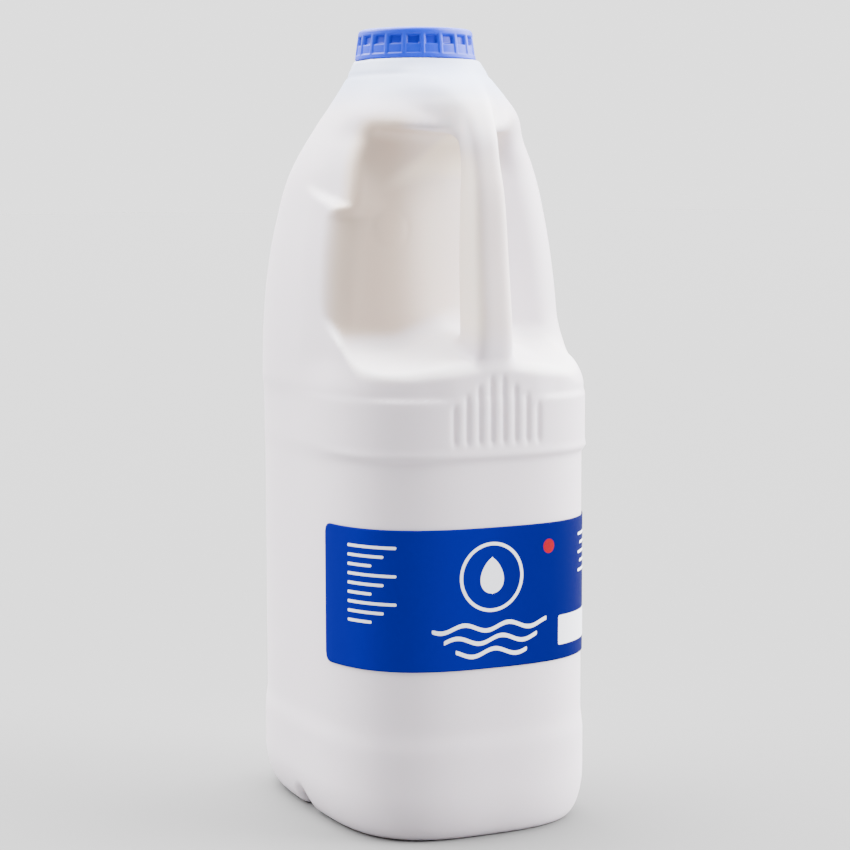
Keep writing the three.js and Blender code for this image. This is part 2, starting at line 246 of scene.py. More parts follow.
# %% Ledge of the recess
RIDGE_ROUND = 3
FLOOR_Z, FLOOR_SLOPE, FLOOR_DRAFT, FLOOR_FALL_Y = 159.2, 0.1, 0.16, (-24, -52)
SADDLE, SADDLE_X, SADDLE_Y = 6.0, (26, 4), (-58, -34)
RIGHT_FALL, RIGHT_FALL_X = 2.5, (30, 43)
LEFT_RIM, LEFT_RIM_X, LEFT_RIM_Y = 8.0, (-40, -46), (-46, -31)


def out_from_middle(x):
    """Distance from the plane x = 0, rounded where the two sides meet."""
    return np.sqrt(x**2 + RIDGE_ROUND**2) - RIDGE_ROUND


def recess_floor(x, y):
    """Height of the ledge: it slopes up to the wall, rises to a saddle behind the handle, falls away to the
    sides at the front and to the right, and turns up into a rim at its left end."""
    saddle = SADDLE * ramp(*SADDLE_X, np.abs(x)) * ramp(*SADDLE_Y, y)
    front_fall = FLOOR_DRAFT * out_from_middle(x) * ramp(*FLOOR_FALL_Y, y)
    fall = np.maximum(front_fall, RIGHT_FALL * ramp(*RIGHT_FALL_X, x))
    rim = LEFT_RIM * ramp(*LEFT_RIM_X, x) * ramp(*LEFT_RIM_Y, y)
    return FLOOR_Z + FLOOR_SLOPE * (y + HALF_DEPTH) + saddle + rim - fall


print("ledge behind the handle at", round(float(recess_floor(0, -35)), 1), "mm")

# %% Room of the recess
WALL_Y_LOW, WALL_Y_HIGH, WALL_Z_LOW, WALL_Z_HIGH, WALL_DRAFT = -27.9, -23.3, 173.2, 225.1, 0.05
WALL_LEAN = (WALL_Y_HIGH - WALL_Y_LOW) / (WALL_Z_HIGH - WALL_Z_LOW)
FLOOR_FILLET = 7.0
CEILING_Z, CEILING_DRAFT, CEILING_RISE, CEILING_RISE_X = 232.3, 0.07, 1.0, (28, 37)
CEILING_FILLET, CEILING_END_FILLET, CEILING_END_X = 4.0, 17.0, (8, 26)
SHELF_DEPTH, SHELF_FOOT_Z, SHELF_HEAD_Z, SHELF_TO_SIDE = 2.0, (204.3, 208.3), (226.0, 209.3), (20, 3)


def recess_field(x, y, z):
    """Room behind the handle: in front of a leaning wall, over the ledge and under a ceiling. Wall and
    ceiling fall away from x = 0, so that the two mould halves could be pulled apart. At the upper left the
    wall steps forward into a small shelf."""
    out = out_from_middle(x)
    to_side = section(y, np.clip(z, 0, NECK_TOP))[0] - np.abs(x)
    shelf = ramp(*SHELF_FOOT_Z, z) * ramp(*SHELF_HEAD_Z, z) * ramp(*SHELF_TO_SIDE, to_side)
    shelf = SHELF_DEPTH * shelf * ramp(*LEFT_SIDE, x)
    wall = y - (WALL_Y_LOW + WALL_LEAN * (z - WALL_Z_LOW) + WALL_DRAFT * out - shelf)
    floor = recess_floor(x, y) - z
    ceiling = z - CEILING_Z - CEILING_DRAFT * out - CEILING_RISE * ramp(*CEILING_RISE_X, np.abs(x))
    high_fillet = mix(CEILING_FILLET, CEILING_END_FILLET, ramp(*CEILING_END_X, x))
    return meet_round(meet_round(wall, floor, FLOOR_FILLET), ceiling, high_fillet)


print("wall leans", round(math.degrees(math.atan(WALL_LEAN)), 1), "degrees")

# %% Rounding of the recess's edge
LIP_ROUND, LIP_LEFT_ROUND, LIP_RIGHT_ROUND = 4.5, 2.5, 7.5
LIP_LEFT_X, LIP_RIGHT_X = (-26, -38), (28, 40)
LEFT_CORNER, RIGHT_CORNER, UPPER_CORNER, RIGHT_SIDE = 8.5, 12.0, 3.5, (0, 10)
SIDE_FOOT_Z, SIDE_STEP_Z, SIDE_HEAD_Z = (160, 172), (204, 209), (222, 233)
CEILING_ROUND, CEILING_RIGHT_ROUND, CEILING_LEFT_EXTRA = 2.5, 14.0, 3
CEILING_RIGHT_X, CEILING_LEFT_X = (10, 28), (-26, -36)


def recess_edge(x, z):
    """Radius of the recess's outer edge: small at the lip, large up the sides, crisp over the step, and soft
    again at the two ends of the ceiling."""
    lip = mix(LIP_ROUND, LIP_RIGHT_ROUND, ramp(*LIP_RIGHT_X, x))
    lip = lip + (LIP_LEFT_ROUND - LIP_ROUND) * ramp(*LIP_LEFT_X, x)
    side = mix(LEFT_CORNER, RIGHT_CORNER, ramp(*RIGHT_SIDE, x))
    side = mix(lip, side, ramp(*SIDE_FOOT_Z, z))
    side = side + (UPPER_CORNER - side) * ramp(*SIDE_STEP_Z, z) * ramp(*LEFT_SIDE, x)
    top = mix(CEILING_ROUND, CEILING_RIGHT_ROUND, ramp(*CEILING_RIGHT_X, x))
    top = top + CEILING_LEFT_EXTRA * ramp(*CEILING_LEFT_X, x)
    return mix(side, top, ramp(*SIDE_HEAD_Z, z))


print("edge radius at the lip's middle", float(recess_edge(0, FLOOR_Z)), "mm")

# %% Handle
HANDLE_PATH = [(-14, 249), (-29.4, 244), (-40, 238.5), (-45.3, 231), (-47.4, 222), (-49, 210), (-49.9, 192),
               (-51.7, 166.4), (-50.2, 152), (-46, 136)]
HANDLE_HALF_WIDTH = [9.5, 8.4, 6.8, 5.7, 5.5, 6.2, 6.8, 7.3, 7.8, 8.5]
HANDLE_HALF_DEPTH = [6.5, 6.6, 5.8, 5.6, 6.1, 7.3, 8.1, 8.6, 7.9, 7.7]
HANDLE_POWER, HANDLE_END_SLACK = 3.4, 2
PATH_STEPS, NEAR_BATCH = 240, 20000
path_knots = np.arange(len(HANDLE_PATH))
path_at = np.linspace(0, len(HANDLE_PATH) - 1, PATH_STEPS)
path_y, path_z, path_half_x, path_half_y = [
    through(list(zip(path_knots, values)), path_at)
    for values in (*np.array(HANDLE_PATH).T, HANDLE_HALF_WIDTH, HANDLE_HALF_DEPTH)
]
path_run = np.stack([np.gradient(path_y), np.gradient(path_z)])
path_run /= np.hypot(*path_run)


def handle_field(x, y, z):
    """Bar with a soft-cornered section swept down the centre line: the nearest point of the line gives the
    section's size there, and the superellipse of the offsets across and through it gives the gap."""
    y, z = np.broadcast_arrays(y, z)
    near = np.empty(y.shape, int)
    flat_y, flat_z, flat_near = y.reshape(-1), z.reshape(-1), near.reshape(-1)
    for start in range(0, flat_y.size, NEAR_BATCH):
        part = slice(start, start + NEAR_BATCH)
        gap = (flat_y[part, None] - path_y) ** 2 + (flat_z[part, None] - path_z) ** 2
        flat_near[part] = gap.argmin(axis=1)
    dy, dz = y - path_y[near], z - path_z[near]
    through_bar = dy * path_run[1][near] - dz * path_run[0][near]
    along = np.abs(dy * path_run[0][near] + dz * path_run[1][near])
    half_x, half_y = path_half_x[near], path_half_y[near]
    across = (np.abs(x) / half_x) ** HANDLE_POWER
    size = (across + (np.abs(through_bar) / half_y) ** HANDLE_POWER) ** (1 / HANDLE_POWER)
    return (size - 1) * np.minimum(half_x, half_y) + np.maximum(along - HANDLE_END_SLACK, 0)


print("handle line", round(float(np.hypot(np.diff(path_y), np.diff(path_z)).sum())), "mm long")

# %% [markdown]
# ## Grip ribs and pressed lines
# Eight upright grooves sit under the handle, tallest in the middle, and the mould left a few soft lines: a
# cove under the lip, a bead over the panel, a line round the neck and a faint round mark on the recess wall.
# They could be a bump in the material, but then the outline and the exported mesh would be smooth. So each
# is a small hollow pressed into the field: a bell curve across, faded out at its ends.

# %% Grip grooves
RIB_COUNT, RIB_PITCH, RIB_HALF_WIDTH, RIB_DEPTH = 8, 4.36, 1.0, 0.85
RIB_BOTTOM, RIB_PEAK, RIB_FALL = 131.0, 154.0, 0.72
RIB_END_OUT, RIB_END_IN = 1, 2


def groove_depth(x, y, z):
    """Depth of the grip grooves: a row of bell curves, each ending where the row's roof line says."""
    place = np.clip(np.round(x / RIB_PITCH - 0.5), -RIB_COUNT / 2, RIB_COUNT / 2 - 1) + 0.5
    middle = place * RIB_PITCH
    top = RIB_PEAK - RIB_FALL * np.maximum(np.abs(middle) - RIB_PITCH / 2, 0)
    foot = ramp(RIB_BOTTOM - RIB_END_OUT, RIB_BOTTOM + RIB_END_IN, z)
    tall = foot * (1 - ramp(top - RIB_END_IN, top + RIB_END_OUT, z))
    return RIB_DEPTH * bell(x, middle, RIB_HALF_WIDTH) * tall * (y < 0)


print("grooves span", round((RIB_COUNT - 1) * RIB_PITCH, 1), "mm")

# %% Pressed lines
COVE_DEPTH, COVE_SOFT, COVE_FULL, COVE_TOP = 0.8, 0.8, 4, 158.5
COVE_X, COVE_Y, COVE_CORNER_X, COVE_CORNER_LOSS = (14, 24), (-8, -24), (34, 42), 0.8
BEAD_HEIGHT, BEAD_RISE, BEAD_HALF_WIDTH, BEAD_Y = 0.3, 1.6, 1.2, (-15, -45)
NECK_LINE_DEPTH, NECK_LINE_Z, NECK_LINE_HALF_WIDTH = 0.4, 252.6, 0.8
MARK_X, MARK_Z, MARK_RADIUS, MARK_DEPTH, MARK_HALF_WIDTH = -22.0, 200.9, 6.5, 0.16, 0.9
MARK_FRONT_Y, MARK_BACK_Y = (-34, -30), (-8, -12)


def pressed_lines(x, y, z):
    """Depth of the mould's soft lines: the cove and the bead run round the front, the line round the neck,
    and the round mark is a thin circle on the recess wall."""
    corner_fade = 1 - COVE_CORNER_LOSS * ramp(*COVE_CORNER_X, np.abs(x))
    cove = ramp(BAND_TOP - COVE_SOFT, BAND_TOP + COVE_SOFT, z) - ramp(BAND_TOP + COVE_FULL, COVE_TOP, z)
    cove = ramp(*COVE_X, np.abs(x)) * COVE_DEPTH * cove * corner_fade * ramp(*COVE_Y, y)
    mark = bell(np.hypot(x - MARK_X, z - MARK_Z), MARK_RADIUS, MARK_HALF_WIDTH)
    mark = MARK_DEPTH * mark * ramp(*MARK_FRONT_Y, y) * ramp(*MARK_BACK_Y, y)
    bead = BEAD_HEIGHT * bell(z, PANEL_TOP + BEAD_RISE, BEAD_HALF_WIDTH) * ramp(*BEAD_Y, y)
    neck_line = NECK_LINE_DEPTH * bell(z, NECK_LINE_Z, NECK_LINE_HALF_WIDTH)
    return neck_line - bead + cove + mark


print("bead stands", -round(float(pressed_lines(0, -HALF_DEPTH, PANEL_TOP + BEAD_RISE)), 2), "mm proud")

# %% [markdown]
# ## The whole bottle
# Body, recess, handle and lines are now put together in one field, with a radius for each join. A small
# arched gully runs across the base, and the foot is cut flat so that the jug stands.

# %% Bottle field
HANDLE_TOP_ROOT, HANDLE_INNER_ROOT, HANDLE_FRONT_ROOT = 9.0, 3.5, 2.0
ROOT_INNER_Y, ROOT_TOP_Z, ROOT_TOP_END_Z = (-58, -48), (234, 243), (258, 247)
GULLY_Y, GULLY_HALF_WIDTH, GULLY_HEIGHT, GULLY_EDGE = 0.0, 4.6, 6.8, 2.8
FOOT_ROUND = 0.8


def bottle_field(x, y, z):
    """The whole bottle: body less recess, joined to the handle, less grooves and gully, over the floor."""
    body = meet_round(body_field(x, y, z), -recess_field(x, y, z), recess_edge(x, z))
    root = mix(HANDLE_FRONT_ROOT, HANDLE_INNER_ROOT, ramp(*ROOT_INNER_Y, y))
    root = root + (HANDLE_TOP_ROOT - root) * ramp(*ROOT_TOP_Z, z) * ramp(*ROOT_TOP_END_Z, z)
    whole = join_round(body + pressed_lines(x, y, z), handle_field(x, y, z), root) + groove_depth(x, y, z)
    arch = np.hypot((y - GULLY_Y) / GULLY_HALF_WIDTH, np.maximum(z, 0) / GULLY_HEIGHT)
    whole = meet_round(whole, (1 - arch) * GULLY_HALF_WIDTH, GULLY_EDGE)
    return np.maximum(meet_round(whole, -z, FOOT_ROUND), z - NECK_TOP)


gap_middle = np.array([0.0]), np.array([-36.0]), np.array([200.0])
print("the finger gap is open:", bool(bottle_field(*gap_middle)[0] > 0))

# %% [markdown]
# ## From field to mesh
# The field is sampled on a box grid that is fine where the relief is fine. Each grid cell that the surface
# crosses gets one point, each grid edge that it crosses gets one four-cornered face between the four cells
# round it (this is called surface nets), and a few Newton steps then slide every point onto the surface.
# A voxel remesh of a boolean would be shorter to write, but it would blur the grooves.

# %% Surface nets


def box_grid_surface(value, xs, ys, zs):
    """Points and faces of the zero surface of values on a box grid; faces look to the positive side."""
    inside = value < 0
    cells = tuple(n - 1 for n in value.shape)
    count = np.zeros(cells, int)
    for i, j, k in np.ndindex(2, 2, 2):
        count += inside[i:i + cells[0], j:j + cells[1], k:k + cells[2]]
    number = np.full(cells, -1)
    crossed = np.nonzero((count > 0) & (count < 8))
    number[crossed] = np.arange(len(crossed[0]))
    points = np.stack([(axis[c] + axis[c + 1]) / 2 for axis, c in zip((xs, ys, zs), crossed)], axis=1)
    faces = []
    for axis in range(3):
        low = np.moveaxis(inside, axis, 0)[:-1]
        high = np.moveaxis(inside, axis, 0)[1:]
        here = np.moveaxis(number, axis, 0)
        change = (low != high)[:, 1:-1, 1:-1]
        corners = (here[:, :-1, :-1], here[:, 1:, :-1], here[:, 1:, 1:], here[:, :-1, 1:])
        around = np.stack(corners, axis=-1)[change]
        flip = ~low[:, 1:-1, 1:-1][change]
        if axis == 1:
            flip = ~flip
        around[flip] = around[flip][:, ::-1]
        faces.append(around)
    return points, np.concatenate(faces)


def graded(*spans):
    """Grid places from (start, end, step) spans laid end to end."""
    places = [np.linspace(a, b, max(round((b - a) / step), 1), endpoint=False) for a, b, step in spans]
    return np.append(np.concatenate(places), spans[-1][1])


# The steps are finest across the grip grooves and at the panel's two edges.
grid_x = graded((-50, -19.2, 1.5), (-19.2, 19.2, 0.72), (19.2, 50, 1.5))
grid_y = graded((-63, 63, 1.5))
grid_z = graded((-1.5, 18, 1.1), (18, 31.4, 1.9), (31.4, 35.2, 0.6), (35.2, 124.6, 2.3), (124.6, 128.4, 0.6),
                (128.4, 160, 1.0), (160, 240, 1.35), (240, 259.4, 1.1))
sampled = bottle_field(grid_x[:, None, None], grid_y[None, :, None], grid_z[None, None, :])
bottle_points, bottle_quads = box_grid_surface(sampled, grid_x, grid_y, grid_z)
print("grid of", sampled.shape, "gives", len(bottle_points), "points")

# %% Onto the true surface
SETTLE_ROUNDS = (2, 1, 4)


def ease(points, quads):
    """Each point moves to the middle of the points that it shares an edge with."""
    start, end = np.concatenate([quads[:, [k, (k + 1) % 4]] for k in range(4)]).T
    count = np.bincount(start, minlength=len(points))
    total = [np.bincount(start, points[end, axis], minlength=len(points)) for axis in range(3)]
    return np.stack(total, axis=1) / count[:, None]


def settle(field, points, steps, reach=0.02, least=0.05):
    """Newton steps: each point moves down the field's slope by the field's value, at most 1 mm a step."""
    for _ in range(steps):
        value = field(*points.T)
        pairs = [(field(*(points + s).T), field(*(points - s).T)) for s in np.eye(3) * reach]
        slope = np.stack([(ahead - behind) / (2 * reach) for ahead, behind in pairs], axis=1)
        move = value / np.maximum((slope**2).sum(axis=1), least)
        points = points - np.clip(move, -1, 1)[:, None] * slope
    return points


for newton_steps in SETTLE_ROUNDS:
    bottle_points = settle(bottle_field, ease(bottle_points, bottle_quads), newton_steps)
bottle = mesh_piece("bottle_shell", bottle_points, bottle_quads)
print("bottle", len(bottle_points), "points", 2 * len(bottle_quads), "triangles")

# %% [markdown]
# ## Screw cap
# The cap is a moulded drum turned about the neck's axis, so it is a grid of angle by height, and no boolean
# is needed. Twenty narrow ribs stand between shallow panels, and each panel has a deeper pocket in its upper
# half.

# %% Cap
CAP_BOTTOM, CAP_TOP, CAP_RADIUS, CAP_EDGE = 258.3, 268.6, 20.9, 1.55
CAP_SKIRT = CAP_TOP - CAP_EDGE - CAP_BOTTOM
CAP_TAPER, CAP_TAPER_POWER, CAP_FOOT_TUCK = 1.15, 1.2, 0.25
CAP_RIBS, CAP_PANEL, CAP_POCKET = 20, 0.35, 0.85
# Fades over a panel's width are shares of half a pitch, and fades up it are heights over the cap's bottom.
CAP_PANEL_SIDE, CAP_POCKET_SIDE = (0.86, 0.74), (0.68, 0.6)
CAP_PANEL_LOW, CAP_PANEL_HIGH = (1.3, 1.8), (8.2, 7.7)
CAP_POCKET_LOW, CAP_POCKET_HIGH = (4.6, 5.0), (7.8, 7.3)
CAP_COLUMNS, CAP_ROWS, CAP_EDGE_ROWS = CAP_RIBS * 26, 40, 8


def skirt_radius(rise):
    """Radius of the plain skirt at a height over the cap's bottom, tapering a little more near the top."""
    return CAP_RADIUS - CAP_TAPER * np.clip(rise / CAP_SKIRT, 0, 1) ** CAP_TAPER_POWER


def cap_surface():
    """Radius by angle and height: a tapered drum with a rounded top edge, less a panel between each two ribs
    and a deeper pocket in the upper part of each panel. Rows of radius 0 close the top and the bottom."""
    rise = np.linspace(0, CAP_SKIRT, CAP_ROWS)
    turn = np.linspace(0, np.pi / 2, CAP_EDGE_ROWS + 1)[1:]
    z = np.concatenate([[0, 0], rise[1:], rise[-1] + CAP_EDGE * np.sin(turn), [CAP_TOP - CAP_BOTTOM]])
    side = skirt_radius(rise)
    round_over = side[-1] - CAP_EDGE * (1 - np.cos(turn))
    radius = np.concatenate([[0], [CAP_RADIUS - CAP_FOOT_TUCK], side[1:], round_over, [0]])
    angle = np.linspace(0, 2 * np.pi, CAP_COLUMNS, endpoint=False)
    phase = np.abs((angle * CAP_RIBS / (2 * np.pi)) % 1 - 0.5) * 2
    panel_tall = ramp(*CAP_PANEL_LOW, z) * ramp(*CAP_PANEL_HIGH, z)
    pocket_tall = ramp(*CAP_POCKET_LOW, z) * ramp(*CAP_POCKET_HIGH, z)
    r = radius[:, None] - CAP_PANEL * panel_tall[:, None] * ramp(*CAP_PANEL_SIDE, phase)
    r = np.maximum(r - CAP_POCKET * pocket_tall[:, None] * ramp(*CAP_POCKET_SIDE, phase), 0)
    up = np.broadcast_to(z[:, None] + CAP_BOTTOM, r.shape)
    points = np.stack([r * np.cos(angle), NECK_OFFSET + r * np.sin(angle), up], axis=-1)
    return points.reshape(-1, 3), grid_quads(len(z), CAP_COLUMNS, wrap=True)


def weld(piece, reach=1e-6):
    """Merges points that lie in one place, such as the rows that close a pole."""
    work = bmesh.new()
    work.from_mesh(piece.data)
    bmesh.ops.remove_doubles(work, verts=work.verts, dist=reach)
    bmesh.ops.recalc_face_normals(work, faces=work.faces)
    work.to_mesh(piece.data)
    work.free()


cap = mesh_piece("screw_cap", *cap_surface())
weld(cap)
print("cap", len(cap.data.polygons), "faces")

# %% Pockets of the cap
POCKET_TINTED, POCKET_ZONE_LOW, POCKET_ZONE_HIGH = 0.7, 1, 7.9
cap_places = np.empty(len(cap.data.vertices) * 3)
cap.data.vertices.foreach_get("co", cap_places)
cap_x, cap_y, cap_z = cap_places.reshape(-1, 3).T / MM
cap_rise = cap_z - CAP_BOTTOM
depth_in = skirt_radius(cap_rise) - np.hypot(cap_x, cap_y - NECK_OFFSET)
# Painted shade: the share grows from 0 to 1 down into each pocket.
in_pocket = ramp(CAP_PANEL, CAP_PANEL + CAP_POCKET * POCKET_TINTED, depth_in)
in_pocket = in_pocket * (cap_rise > POCKET_ZONE_LOW) * (cap_rise < POCKET_ZONE_HIGH)
keep_per_point(cap, "pocket_shade_share", in_pocket)
print("points deep in a pocket", int((in_pocket > 0.5).sum()))

# %% [markdown]
# ## Wrap label
# The label is a strip of printed film round the front half. Its grid runs along the panel's own section, so
# it follows every bend. Projecting a flat strip onto the bottle would do too, but it would stretch at the
# corners. A Solidify modifier gives the film its thickness.

# %% Label strip
LABEL_BOTTOM, LABEL_TOP, LABEL_END_Y, LABEL_CORNER = 57.4, 104.1, -24.5, 3.0
LABEL_LIFT, LABEL_THICKNESS = 0.42, 0.25
LABEL_HALF = (LABEL_TOP - LABEL_BOTTOM) / 2
LABEL_MIDDLE = (LABEL_TOP + LABEL_BOTTOM) / 2
LABEL_COLUMNS, LABEL_ROWS, LINE_SAMPLES, FRONT_HALF_Y = 300, 90, 4000, -1.0


def label_line(count):
    """Evenly spaced points along the panel's section round the front, and their distance from the middle."""
    a, b, _, n, m = [float(v) for v in section(FRONT_HALF_Y, np.array(PANEL_MIDDLE))]
    end = math.asin((abs(LABEL_END_Y) / b) ** (m / 2))
    angle = np.linspace(end - np.pi, -end, LINE_SAMPLES)
    c, s = np.cos(angle), np.sin(angle)
    x = (a + LABEL_LIFT) * np.sign(c) * np.abs(c) ** (2 / n)
    y = (b + LABEL_LIFT) * np.sign(s) * np.abs(s) ** (2 / m)
    run = np.append(0, np.cumsum(np.hypot(np.diff(x), np.diff(y))))
    at = np.linspace(0, run[-1], count)
    return np.stack([np.interp(at, run, x), np.interp(at, run, y)], axis=1), at - run[-1] / 2


strip, label_run = label_line(LABEL_COLUMNS)
into_corner = np.maximum(LABEL_CORNER - (label_run[-1] - np.abs(label_run)), 0)
half_height = LABEL_HALF - LABEL_CORNER + np.sqrt(np.maximum(LABEL_CORNER**2 - into_corner**2, 0))
label_v = np.linspace(-1, 1, LABEL_ROWS)[:, None] * half_height
label_u = np.broadcast_to(label_run, label_v.shape)
label_points = np.empty((LABEL_ROWS, LABEL_COLUMNS, 3))
label_points[..., :2] = strip
label_points[..., 2] = LABEL_MIDDLE + label_v
label = mesh_piece("wrap_label", label_points.reshape(-1, 3), grid_quads(LABEL_ROWS, LABEL_COLUMNS))
film = label.modifiers.new("film", "SOLIDIFY")
film.thickness = LABEL_THICKNESS * MM
film.offset = -1
print("label strip", round(float(label_run[-1] * 2), 1), "mm long")

# %% [markdown]
# ## Print on the label
# The print is plain and generic: a milk drop in a ring, a few wavy lines, a blank box for a date, two blocks
# of short bars and a small red disc. A picture could be laid on, but it would blur when seen close. Here
# each point keeps its distance to the nearest printed shape, along the strip (u) and up it (v), and the
# material draws ink where that distance is below zero. Distances to simple shapes are easy to write: a disc
# is the distance to its centre less its radius, and a box with round corners is the distance to a smaller
# box less the corner radius.

# %% Drop, ring and waves
DROP_U, DROP_V, DROP_TALL, DROP_FOOT, DROP_WIDE, DROP_POINT = -2.0, 7.0, 12, 5.5, 10.12, 1.6
DROP_MIDDLE, DROP_REACH = 0.5, 6.2
RING_RADIUS, RING_LINE = 11.0, 0.55
WAVES, WAVE_TOP, WAVE_PITCH, WAVE_HEIGHT, WAVE_LENGTH, WAVE_LINE = 3, -9.5, 4.2, 1.1, 16, 0.7
WAVE_REACH, WAVE_SHORTER = 21, 4


def disc(u, v, at_u, at_v, radius):
    """Distance to a disc's edge, negative inside."""
    return np.hypot(u - at_u, v - at_v) - radius


ring = np.abs(disc(label_u, label_v, DROP_U, DROP_V, RING_RADIUS)) - RING_LINE
drop_rise = (label_v - DROP_V + DROP_FOOT) / DROP_TALL
drop_half = DROP_WIDE * np.sqrt(np.clip(drop_rise, 0, 1) * np.clip(1 - drop_rise, 0, 1) ** DROP_POINT)
drop = np.maximum(np.abs(label_u - DROP_U) - drop_half, np.abs(label_v - DROP_V - DROP_MIDDLE) - DROP_REACH)
ink = np.minimum(ring, drop)
for level in range(WAVES):
    wave = WAVE_TOP - WAVE_PITCH * level + WAVE_HEIGHT * np.sin(2 * np.pi * label_u / WAVE_LENGTH + level)
    past_end = np.abs(label_u - DROP_U) - WAVE_REACH + WAVE_SHORTER * level
    ink = np.minimum(ink, np.maximum(np.abs(label_v - wave) - WAVE_LINE, past_end))
print("printed share so far", round(float((ink < 0).mean()), 3))

# %% Box, bars and red disc
BOX_U, BOX_V, BOX_HALF_U, BOX_HALF_V, BOX_CORNER = 36, -13.5, 11.5, 5.0, 0.6
BAR_TOP_V, BAR_PITCH, BAR_HALF_V, BAR_CORNER = 17.5, 3.1, 0.5, 0.4
LEFT_BARS, LEFT_BAR_EDGE, LEFT_BAR_HALF, LEFT_BAR_SHORTER = 9, -53.5, 9.5, 2.2
RIGHT_BARS, RIGHT_BAR_U, RIGHT_BAR_HALF, RIGHT_BAR_SHORTER = 5, 45, 8.0, 1.8
SEAL_U, SEAL_V, SEAL_RADIUS = 20.0, 15.5, 2.4


def bar(u, v, at_u, at_v, half_u, half_v, corner_radius):
    """Distance to the edge of a box with round corners, negative inside."""
    du = np.maximum(np.abs(u - at_u) - half_u + corner_radius, 0)
    dv = np.maximum(np.abs(v - at_v) - half_v + corner_radius, 0)
    return np.hypot(du, dv) - corner_radius


left_halves = [LEFT_BAR_HALF - LEFT_BAR_SHORTER * (row % 3) for row in range(LEFT_BARS)]
right_halves = [RIGHT_BAR_HALF - RIGHT_BAR_SHORTER * (row % 2) for row in range(RIGHT_BARS)]
bars = [(LEFT_BAR_EDGE + half, row, half) for row, half in enumerate(left_halves)]
bars += [(RIGHT_BAR_U, row, half) for row, half in enumerate(right_halves)]
ink = np.minimum(ink, bar(label_u, label_v, BOX_U, BOX_V, BOX_HALF_U, BOX_HALF_V, BOX_CORNER))
for bar_u, row, half in bars:
    bar_v = BAR_TOP_V - BAR_PITCH * row
    ink = np.minimum(ink, bar(label_u, label_v, bar_u, bar_v, half, BAR_HALF_V, BAR_CORNER))
keep_per_point(label, "ink_gap", ink)
keep_per_point(label, "seal_gap", disc(label_u, label_v, SEAL_U, SEAL_V, SEAL_RADIUS))
print("printed share", round(float((ink < 0).mean()), 3))

# %% Painted shade on the label's blue
SHADE_RIGHT_U, SHADE_LEFT_U, SHADE_LEFT = (-30, 45), (-45, -62), 0.35
# Painted shade: the blue darkens towards the label's right end, and a little towards its left end.
deep = np.maximum(ramp(*SHADE_RIGHT_U, label_u), SHADE_LEFT * ramp(*SHADE_LEFT_U, label_u))
keep_per_point(label, "label_shade_share", deep)
print("mean depth of the blue", round(float(deep.mean()), 2))

# %% [markdown]
# ## Finishes
# Each finish is one Principled shader. A value that is the same all over the surface is set on the shader
# itself, and what varies is linked: the colour, the roughness and a fine bump.

# %% Colour and node helpers


def linear(hex_colour):
    """Linear colour from an sRGB hex value."""
    srgb = np.array([int(hex_colour[i:i + 2], 16) for i in (1, 3, 5)]) / 255
    value = np.where(srgb <= 0.04045, srgb / 12.92, ((srgb + 0.055) / 1.055) ** 2.4)
    return (*value.tolist(), 1.0)


def node(material, kind, settings=None, **inputs):
    """Adds a node of a kind, sets its properties, and gives each input, by name or as i and its number, a
    value or a link."""
    made = material.node_tree.nodes.new(kind)
    for key, value in (settings or {}).items():
        setattr(made, key, value)
    for key, value in inputs.items():
        name = key.replace("_", " ")
        socket = made.inputs[int(name[1:])] if name[0] == "i" and name[1:].isdigit() else made.inputs[name]
        if isinstance(value, bpy.types.NodeSocket):
            material.node_tree.links.new(value, socket)
        else:
            socket.default_value = value
    return made


def finish_start(name, **constants):
    """A new material with its shader, whose constant inputs are set, and the object's own coordinates."""
    material = bpy.data.materials.new(name)
    material.use_nodes = True
    shader = material.node_tree.nodes["Principled BSDF"]
    for key, value in constants.items():
        shader.inputs[key.replace("_", " ")].default_value = value
    return material, shader, node(material, "ShaderNodeTexCoord").outputs["Object"]


def feed(material, shader, **sources):
    """Links each source to the shader's input of that name."""
    for key, source in sources.items():
        material.node_tree.links.new(source, shader.inputs[key.replace("_", " ")])


TWO_COLOURS = {"data_type": "RGBA"}
print("middle grey in linear light", round(linear("#808080")[0], 3))

# %% [markdown]
# ## Painted light and tints of the bottle
# Unpigmented polyethylene over milk isn't one white, and light and shade are painted on it as well. Painted
# shade, warm as light that has come through milk, darkens the hand recess and the handle's bar. Painted
# light makes parts of the recess wall and the handle's side paler, where more of it comes through, and makes
# the ledge and the top of the handle whiter. The neck's own tint is bluish, where only a thin wall and air
# stand behind it. Painting these by hand on a texture would need an image. Here each share runs from 0 to 1,
# worked out from the same fields as the shape, so it lies where the shape says.

# %% Where the painted shade of the hollow lies
NEAR_WALL, WALL_FRONT_Y, WALL_BACK_Y = (9, 1), (-38, -31), (-10, -17)
HOLLOW_OVER_FLOOR, HOLLOW_HEAD_Z, HOLLOW_X = (-1, 6), (242, 236), (8, -22)
HANDLE_SHADE_AND_LIGHT, HANDLE_TINT_X, HANDLE_TINT_Y = 0.4, (10, 8), (-34, -40)
HANDLE_TINT_FOOT_Z, HANDLE_TINT_HEAD_Z = (160, 172), (232, 220)
x, y, z = bottle_points.T
off_recess = np.abs(recess_field(x, y, z))
over_floor = z - recess_floor(x, y)
near_wall = ramp(*NEAR_WALL, off_recess) * ramp(*WALL_FRONT_Y, y) * ramp(*WALL_BACK_Y, y)
# Painted shade: full on the left of the recess wall above the ledge, and gone towards the right.
in_hollow = near_wall * ramp(*HOLLOW_OVER_FLOOR, over_floor) * ramp(*HOLLOW_HEAD_Z, z) * ramp(*HOLLOW_X, x)
handle_tall = ramp(*HANDLE_TINT_FOOT_Z, z) * ramp(*HANDLE_TINT_HEAD_Z, z)
# The handle's bar takes part of the painted shade, and its left side part of the painted light.
on_handle = HANDLE_SHADE_AND_LIGHT * ramp(*HANDLE_TINT_Y, y) * ramp(*HANDLE_TINT_X, np.abs(x)) * handle_tall
print("points near the wall", int((near_wall > 0.5).sum()), "on the handle", int((on_handle > 0.2).sum()))
